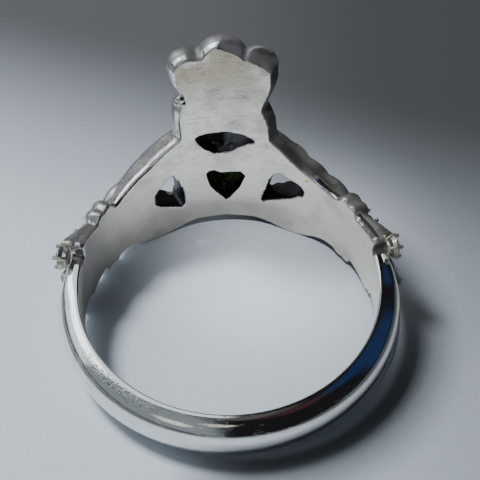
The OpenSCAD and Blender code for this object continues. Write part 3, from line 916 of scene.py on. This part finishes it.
def turned_slab(name, outline, turn):
    """A cutter for an opening beside the heart, square to the plate there, and higher at the front."""
    middle = sum(z for x, z in outline) / len(outline)
    across = [BORE_R * math.sin(math.asin(x / BORE_R) - turn) for x, z in outline]
    rings = []
    for y, grow in ((INSIDE, 1), (BORE_R + 0.4, 1), (OUTSIDE, 1.5)):
        rings.append([(x, y, middle + (z - middle) * grow) for x, (_, z) in zip(across, outline)])
    cutter = loft(name, rings)
    cutter.data.transform(Matrix.Rotation(-turn, 4, "Z"))
    return cutter


def cut(piece, cutters):
    cutter = join(cutters, "cutter")
    modify(piece, "BOOLEAN", object=cutter, operation="DIFFERENCE", solver="MANIFOLD")
    bpy.data.objects.remove(cutter)


def circle(x, z, r):
    return [(x + r * math.cos(math.radians(t)), z + r * math.sin(math.radians(t))) for t in range(0, 360, 10)]


side_turn = math.radians(SIDE_ANGLE)
cut(head, [slab("crescent", CRESCENT, INSIDE, OUTSIDE), turned_slab("left", LEFT_OPENING, -side_turn),
           turned_slab("right", RIGHT_OPENING, side_turn)])

# %% Hollows in the face of the crown
POCKET_R = 0.546
POCKET_DEPTH = 0.35
TRIANGLE = [(0, 7.3), (1.5, 5.3), (-1.5, 5.3)]
LOBE_BALL_R = 0.34
face_y = BORE_R + CROWN_T
pockets = [slab("pocket", circle(x, z, POCKET_R), face_y - POCKET_DEPTH - (0 if x == 0 else 0.2), OUTSIDE)
           for x, z, r in LOBES]
pockets.append(slab("pocket", TRIANGLE, face_y - POCKET_DEPTH, OUTSIDE))
# the back of the crown is filed away at a slant along its right shoulder
FILED = [(-0.25, 9.66), (1.22, 8.92), (2.56, 8.39), (2.95, 8.22), (3.6, 8.22), (3.6, 11), (-0.25, 11)]
filed = loft("filed", [[(x, y, z + rise) for x, z in FILED] for y, rise in ((7.9, -0.35), (9.3, 0.45))])
cut(head, pockets + [filed])
lobe_balls = [pebble((x, math.sqrt(face_y ** 2 - x * x) - 0.45, z), (LOBE_BALL_R, LOBE_BALL_R, LOBE_BALL_R))
              for x, z, r in LOBES]
print("pierced head has", len(head.data.polygons), "faces")

# %% [markdown]
# ## Setting of the heart
# The heart stone stands in a rim of its own outline. The rim is added after the bend, because it is
# straight, and one more remesh melts it into the plate. The seat is cut last, so it stays crisp.

# %% Heart outline
HEART_TOP = 1.25
HEART_H = 5.2
HEART_HALF_W = 2.35
LOBE_R = HEART_HALF_W * 0.52
LOBE_X = HEART_HALF_W - LOBE_R
LOBE_Z = HEART_TOP - LOBE_R
TIP_R = 0.2
TIP_Z = HEART_TOP - HEART_H + TIP_R
HEART_MIDDLE = (0, HEART_TOP - HEART_H * 0.45)
GIRDLE_Y = 11.2
SEAT_GAP = 0.04
BEZEL_WALL = 0.45
BEZEL_TOP = GIRDLE_Y + 0.2
LEDGE = 0.86


def heart_outline(grow):
    """The stone's outline, grown evenly, from the cleft round the right lobe to the tip and back."""
    lobe, tip = LOBE_R + grow, TIP_R + grow
    across, down = LOBE_X, LOBE_Z - TIP_Z
    side = math.atan2(down, across) - math.acos((tip - lobe) / math.hypot(across, down))
    cleft = math.pi - math.acos(LOBE_X / lobe)
    half = []
    for i in range(25):
        turn = cleft + (side - cleft) * i / 24
        half.append((LOBE_X + lobe * math.cos(turn), LOBE_Z + lobe * math.sin(turn)))
    for i in range(9):
        turn = side + (-math.pi / 2 - side) * i / 8
        half.append((tip * math.cos(turn), TIP_Z + tip * math.sin(turn)))
    return half + [(-x, z) for x, z in half[-2:0:-1]]


def heart_loft(name, stops):
    """A heart-shaped solid through stops of distance from the finger's axis and growth."""
    return loft(name, [[(x, y, z) for x, z in heart_outline(grow)] for y, grow in stops])


rim = SEAT_GAP + BEZEL_WALL
bezel = heart_loft("bezel", [(9.3, rim + 0.12), (9.9, rim), (BEZEL_TOP - 0.2, rim), (BEZEL_TOP, rim - 0.16)])
head = join([head, bezel] + lobe_balls, "head")
modify(head, "REMESH", mode="VOXEL", voxel_size=SECOND_VOXEL, use_smooth_shade=True)
modify(head, "SMOOTH", factor=0.5, iterations=7)
for vert in head.data.vertices:
    r = math.hypot(vert.co.x, vert.co.y)
    wall = wall_radius(vert.co.z)
    if r < max(wall, BORE_R + 0.03):
        vert.co.x *= wall / r
        vert.co.y *= wall / r
print("soft head has", len(head.data.polygons), "faces")

# %% [markdown]
# ## One piece of silver
# The shank and the head are cast as one, so a union makes them one solid. The seats of the stones are
# drilled into it, and only then do the claws grow beside the seats.

# %% Shank and head in one
def unite(piece, other):
    modify(piece, "BOOLEAN", object=other, operation="UNION", solver="MANIFOLD")
    bpy.data.objects.remove(other)


ring = head
unite(ring, shank)
ring.name = "silver_ring"
print("ring has", len(ring.data.polygons), "faces")

# %% Drop of metal
# place and half-sizes of each lump of the crumpled drop that the casting left in the crown's left waist
DROP = [((-2.5, 8.38, 6.28), (0.28, 0.2, 0.25)), ((-2.4, 8.41, 5.9), (0.24, 0.2, 0.26)),
        ((-2.66, 8.4, 6.02), (0.22, 0.22, 0.3))]
for place, sizes in DROP:
    unite(ring, pebble(place, sizes))
print("ring with its drop of metal has", len(ring.data.polygons), "faces")

# %% Seat and hole of the heart
ledge_y = GIRDLE_Y - 0.12 - 1.95 * (1 - LEDGE) - 2 * SEAT_GAP
seat = heart_loft("seat", [(ledge_y, SEAT_GAP), (GIRDLE_Y + 0.03, SEAT_GAP), (BEZEL_TOP - 0.02, -0.06),
                           (BEZEL_TOP + 0.3, -0.06)])
middle_x, middle_z = HEART_MIDDLE
well_outline = [(middle_x + (x - middle_x) * LEDGE, middle_z + (z - middle_z) * LEDGE)
                for x, z in heart_outline(0)]
cut(ring, [seat])
cut(ring, [slab("well", well_outline, BORE_R + 0.7, BEZEL_TOP)])
cut(ring, [slab("heart hole", HEART_HOLE, INSIDE, BEZEL_TOP - 0.5)])
print("seat of the heart is", round(BEZEL_TOP - ledge_y, 2), "mm deep")

# %% [markdown]
# ## Small stones
# The cuff stones sit in cups at the mouths of the cuffs, and the wrist stones in a row behind the
# wires. A jeweller drills the seats and bends claws over the stones, and so do we: round cutters
# drill the seats first, and the claws then grow beside them, so no claw is cut away.

# %% Helpers for seats and claws
# angle, distance of the girdle from the finger hole, diameter, heights, depth of the seat
CUFF_STONES = (80.2, 1.34, 1.05, (0.45, -1.7, -3.85), 0.5)
WRIST_STONES = (62.6, 1.22, 1.0, (-0.75, -1.85, -2.95), 0.7)
CLAW_R = 0.12
CLAW_TIP_R = 0.14


def drill(x, d):
    """A cutter for a round seat, from its floor at Z = 0 outwards."""
    deselect()
    bpy.ops.mesh.primitive_cylinder_add(vertices=32, radius=d / 2 + SEAT_GAP, depth=2, location=(x, 0, 1))
    bpy.ops.object.transform_apply(location=True, rotation=True, scale=True)
    return bpy.context.object


def claw(x, y, foot, reach, lean, foot_share=1):
    """A wire from its foot up to the girdle, with a round tip that leans by a vector over the stone."""
    stops = [(x * foot_share, y * foot_share, foot, CLAW_R), (x, y, reach - 0.1, CLAW_R),
             (x + lean[0] * 0.6, y + lean[1] * 0.6, reach + 0.08, CLAW_R)]
    turns = [2 * math.pi * i / 10 for i in range(10)]
    wire = loft("claw", [[(a + r * math.cos(t), b + r * math.sin(t), c) for t in turns]
                         for a, b, c, r in stops])
    tip = pebble((x + lean[0], y + lean[1], reach + 0.13), (CLAW_TIP_R, CLAW_TIP_R, CLAW_TIP_R * 0.9),
                 segments=12)
    return [wire, tip]


def cuff_cup(side, z):
    """A cup at the mouth of a cuff. Only the upper stone has claws, the others are rubbed over."""
    angle, reach, d, heights, deep = CUFF_STONES
    away = d / 2 + SEAT_GAP + CLAW_R - 0.01
    deselect()
    bpy.ops.mesh.primitive_cone_add(vertices=32, radius1=0.42, radius2=away, depth=0.5, location=(0, 0, 1.0))
    bpy.ops.object.transform_apply(location=True, rotation=True, scale=True)
    cup = [bpy.context.object]
    hollow = drill(0, d)
    hollow.data.transform(Matrix.Translation((0, 0, reach - deep)))
    cut(cup[0], [hollow])
    for turn in (45, 135, 225, 315) if z == max(heights) else ():
        x, y = math.cos(math.radians(turn)), math.sin(math.radians(turn))
        cup += claw(away * x, away * y, 0.8, reach, (-0.07 * x, -0.07 * y), 0.7)
    facing_out(cup, side * angle, 0, z)
    return cup


def wrist_claws(side):
    """Claws in pairs between the stones of one wrist, and at both ends of their row."""
    angle, reach, _, heights, _ = WRIST_STONES
    step = heights[1] - heights[0]
    claws = []
    for i in range(len(heights) + 1):
        for turn in (-2.9, 2.9):
            pair = claw(0, 0, reach - 0.9, reach, (math.copysign(0.06, turn) * -side, 0))
            facing_out(pair, side * angle + turn, 0, heights[0] + step * (i - 0.5))
            claws += pair
    return claws


# %% Seats and claws of the small stones
seats = []
claws = []
for side in (-1, 1):
    for angle, reach, d, heights, deep in (CUFF_STONES, WRIST_STONES):
        for z in heights:
            seat = drill(0, d)
            facing_out([seat], side * angle, reach - deep, z)
            seats.append(seat)
    for z in CUFF_STONES[3]:
        claws += cuff_cup(side, z)
    claws += wrist_claws(side)
cut(ring, seats)
print("claws have", sum(len(piece.data.polygons) for piece in claws), "faces")
unite(ring, join(claws, "claws"))

# %% [markdown]
# ## Grooves and finishes
# Tarnish gathers where the surface is hollow. A copy of the surface is relaxed, and where it rises
# above the real one there is a groove. The silver material reads that height from the mesh.

# %% Grooves
def mark_grooves(piece, rounds):
    """Writes how far the relaxed surface lies above the real one, in mm, on each point."""
    mesh = piece.data
    count = len(mesh.vertices)
    places = np.empty(count * 3)
    mesh.vertices.foreach_get("co", places)
    places = places.reshape(-1, 3)
    normals = np.empty(count * 3)
    mesh.vertices.foreach_get("normal", normals)
    normals = normals.reshape(-1, 3)
    ends = np.empty(len(mesh.edges) * 2, dtype=np.int64)
    mesh.edges.foreach_get("vertices", ends)
    first, second = ends.reshape(-1, 2).T
    neighbours = np.maximum(np.bincount(ends, minlength=count), 1)
    relaxed = places.copy()
    for _ in range(rounds):
        for axis in range(3):
            total = np.bincount(first, relaxed[second, axis], count)
            total = total + np.bincount(second, relaxed[first, axis], count)
            relaxed[:, axis] = (relaxed[:, axis] + total / neighbours) / 2
    grooves = ((relaxed - places) * normals).sum(axis=1)
    mesh.attributes.new("grooves", "FLOAT", "POINT").data.foreach_set("value", grooves)
    print("deepest groove", round(float(grooves.max()), 3), "mm")


mark_grooves(ring, 9)

# %% [markdown]
# ## Finishes
# Each face gets one of three finishes by its place: satin on the finger hole's wall and the cups of
# the stones, blackened in the walls of the openings, and polished elsewhere. So no painting is
# needed, and the finishes follow whenever a size changes.

# %% Finishes
cuff_angle, _, _, cuff_heights, _ = CUFF_STONES
CUP_R = 0.8
CUP_FROM = BORE_R + 0.74
EDGE_REACH = 0.16
OPENINGS = [(CRESCENT, 0), (HEART_HOLE, 0), (LEFT_OPENING, -side_turn), (RIGHT_OPENING, side_turn)]


def near_outline(x, z, outline):
    """Whether a point lies close to an outline's edge."""
    for (ax, az), (bx, bz) in zip(outline, outline[1:] + outline[:1]):
        dx, dz = bx - ax, bz - az
        share = min(max(((x - ax) * dx + (z - az) * dz) / (dx * dx + dz * dz), 0), 1)
        if math.hypot(x - ax - dx * share, z - az - dz * share) < EDGE_REACH:
            return True
    return False


def pick_finish(face):
    """0 polished outside, 1 satin on the finger hole's wall and the cups, 2 blackened in openings."""
    x, y, z = face.center
    from_axis = math.hypot(x, y)
    inwards = -(x * face.normal.x + y * face.normal.y) / from_axis
    if from_axis < wall_radius(z) + 0.02 and inwards > 0.9:
        return 1
    arc = BORE_R * (math.atan2(abs(x), y) - math.radians(cuff_angle))
    if from_axis > CUP_FROM and any(math.hypot(arc, z - height) < CUP_R for height in cuff_heights):
        return 1
    # past the openings, and on the edge of the finger hole's wall
    if y < 0 or abs(x) > 6 or abs(z) > 3.4 or from_axis < wall_radius(z) + 0.05:
        return 0
    # inside the crescent
    if abs(x) < 2.3 and 1.2 < z < 3.2 and from_axis < BORE_R + 1.7:
        return 2
    if abs(inwards) > 0.8:
        return 0
    for outline, turn in OPENINGS:
        if turn == 0:
            reach = x
        else:
            turned = Vector((x, y, 0)) @ Matrix.Rotation(-turn, 3, "Z")
            reach = BORE_R * math.sin(math.asin(max(-1, min(turned.x / BORE_R, 1))) + turn)
        if near_outline(reach, z, outline):
            return 2
    return 0


only(ring)
bpy.ops.object.shade_smooth_by_angle(angle=math.radians(40))
lay_down(ring, (polished, satin, blackened), pick_finish)
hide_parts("ring")

# %% [markdown]
# ## Floor, room and lamps
# Polished silver shows mostly what is around it, so the room matters as much as the metal. It is dark
# towards the back and the right, with a large pale window on the left, a grey wall before it, and
# something blue on the right. A soft lamp high above gives the short shadows, and more shade and a
# shadow beside the ring are painted into the floor's colour.

# %% Floor
PAPER_DARK = (0.51, 0.555, 0.625, 1)
PAPER_PALE = (0.60, 0.645, 0.715, 1)
# painted shade on the floor: far away, towards the back and towards the right
PAPER_FAR_SHADE = (0.12, 0.125, 0.13, 1)
PAPER_SHADED = (0.078, 0.08, 0.086, 1)
PAPER_RIGHT_SHADE = (0.01, 0.01, 0.01, 1)
# colour and middle of the ring's shadow, painted on the floor
PAPER_RING_SHADOW = (0.01, 0.01, 0.012, 1)
RING_SHADOW_MIDDLE = (0.001, -0.001, 0)


def painted_ring_shadow(tree, place, across, back):
    """Mask of the shadow painted on the floor close to the ring, on the side away from the window."""
    from_middle = distance(tree, place, RING_SHADOW_MIDDLE)
    close = band(tree, from_middle, 0.0092, 0.0098, 0.0104, 0.0136)
    slanted = minus(tree, across, times(tree, back, 0.6))
    return times(tree, close, ramp(tree, slanted, 0.002, 0.008, 0.0, 0.7))


def pale_paper():
    """Pale grained paper with shade painted into its colour: darker towards the back and the right, and far
    away, with a painted shadow beside the ring.
    """
    material, tree, shader = new_material("pale paper")
    place = tree.nodes.new("ShaderNodeTexCoord").outputs["Object"]
    across, back, _ = split(tree, place)
    grain = noise(tree, place, 2500.0, 3.0)
    # painted shade far out to the sides and far in front
    far_out = ramp(tree, minus(tree, size_of(tree, across), times(tree, back, 0.3)), 0.0168, 0.0215)
    far = most(tree, far_out, ramp(tree, back, -0.020, -0.036))
    colour = mix(tree, far, mix(tree, grain, PAPER_DARK, PAPER_PALE), PAPER_FAR_SHADE)
    # painted shade towards the back
    shade = ramp(tree, plus(tree, back, times(tree, across, 0.45)), -0.003, 0.028)
    colour = mix(tree, shade, colour, PAPER_SHADED)
    # painted shade towards the right
    colour = mix(tree, ramp(tree, across, -0.004, 0.015, 0.0, 0.42), colour, PAPER_RIGHT_SHADE)
    # painted shadow of the ring on the floor beside it
    colour = mix(tree, painted_ring_shadow(tree, place, across, back), colour, PAPER_RING_SHADOW)
    feed(tree, shader.inputs["Base Color"], colour)
    shader.inputs["Roughness"].default_value = 0.7
    bump(tree, shader, grain, 0.2, 0.02 * MM)
    return material


deselect()
bpy.ops.mesh.primitive_plane_add(size=1.2, location=(0, 0, 0))
floor = bpy.context.object
floor.name = "floor"
floor.data.materials.append(pale_paper())
print("floor is", round(floor.dimensions.x, 1), "m wide")

# %% Room
world = bpy.data.worlds.new("room")
bpy.context.scene.world = world
world.use_nodes = True
tree = world.node_tree
direction = tree.nodes.new("ShaderNodeTexCoord").outputs["Generated"]
x, y, z = split(tree, direction)
back_wall = times(tree, ramp(tree, y, 0.5, 0.62), ramp(tree, z, 0.0, 0.1))
left_end = times(tree, ramp(tree, x, -0.2, -0.4), ramp(tree, z, 0.0, 0.2))
left_end = times(tree, left_end, ramp(tree, y, 0.4, 0.5))
front_wall = times(tree, ramp(tree, x, -0.02, -0.2), ramp(tree, z, -0.02, 0.12))
front_wall = times(tree, front_wall, ramp(tree, y, 0.0, -0.1))
window = times(tree, ramp(tree, minus(tree, y, times(tree, x, 0.08)), -0.02, 0.06), ramp(tree, y, 0.62, 0.44))
window = times(tree, window, times(tree, ramp(tree, x, 0.02, -0.03), ramp(tree, z, 0.02, 0.25)))
blue_things = times(tree, ramp(tree, x, 0.22, 0.4), ramp(tree, z, 0.0, 0.15))
blue_things = times(tree, blue_things, band(tree, y, -0.28, -0.1, 0.2, 0.4))


def patch(aim, inner, outer):
    """Mask of a round patch around a direction, with its soft edge in degrees."""
    node = tree.nodes.new("ShaderNodeVectorMath")
    node.operation = "DOT_PRODUCT"
    feed(tree, node.inputs[0], direction)
    node.inputs[1].default_value = Vector(aim).normalized()
    return ramp(tree, node.outputs["Value"], math.cos(math.radians(outer)), math.cos(math.radians(inner)))


# mask and colour of each thing in the room, from the farthest to the nearest
ROOM = [
    (back_wall, (0.05, 0.046, 0.04, 1)),
    (left_end, (0.13, 0.125, 0.135, 1)),
    (patch((0.03, -0.05, 1), 4, 14), (0.085, 0.083, 0.083, 1)),
    (blue_things, (0.012, 0.029, 0.078, 1)),
    (patch((0.3, -0.24, 0.92), 5, 13), (0.05, 0.022, 0.026, 1)),
    (front_wall, (0.22, 0.25, 0.275, 1)),
    (window, (0.88, 0.98, 1.0, 1)),
    (patch((-0.6, 0.27, 0.75), 9, 18), (2.4, 2.7, 2.78, 1)),
    (patch((-0.46, -0.72, 0.52), 6, 11), (0.78, 0.80, 0.78, 1)),
    (patch((-0.1, -0.62, 0.78), 4, 8), (0.80, 0.82, 0.72, 1)),
    (patch((-0.51, 0.79, 0.33), 6, 12), (0.85, 0.87, 0.83, 1))]
seen = (0.011, 0.0105, 0.012, 1)
for mask, colour in ROOM:
    seen = mix(tree, mask, seen, colour)
feed(tree, tree.nodes["Background"].inputs["Color"], seen)
tree.nodes["Background"].inputs["Strength"].default_value = 1.0
print("room holds", len(ROOM), "things")


# %% Lamps
def lamp(name, kind, place, aim, power, colour):
    """A lamp that lights the ring and the floor, and isn't itself seen in the silver."""
    data = bpy.data.lights.new(name, kind)
    data.energy = power
    data.color = colour
    light = bpy.data.objects.new(name, data)
    bpy.context.collection.objects.link(light)
    light.location = place
    light.rotation_euler = (Vector(aim) - Vector(place)).to_track_quat("-Z", "Y").to_euler()
    light.visible_glossy = False
    return data


window_lamp = lamp("window lamp", "AREA", (-0.112, 0.062, 0.24), (0, 0, 0), 0.95, (0.93, 0.97, 1.0))
window_lamp.size = 0.06
# a narrow beam into the finger hole, from over the shank
fill_lamp = lamp("fill lamp", "SPOT", (-0.03, -0.11, 0.25), (0.005, 0.006, 0), 4.6, (0.95, 0.98, 1.0))
fill_lamp.spot_size = math.radians(4.2)
fill_lamp.spot_blend = 1.0
fill_lamp.shadow_soft_size = 0.004
print("lamps:", [light.name for light in bpy.data.lights])
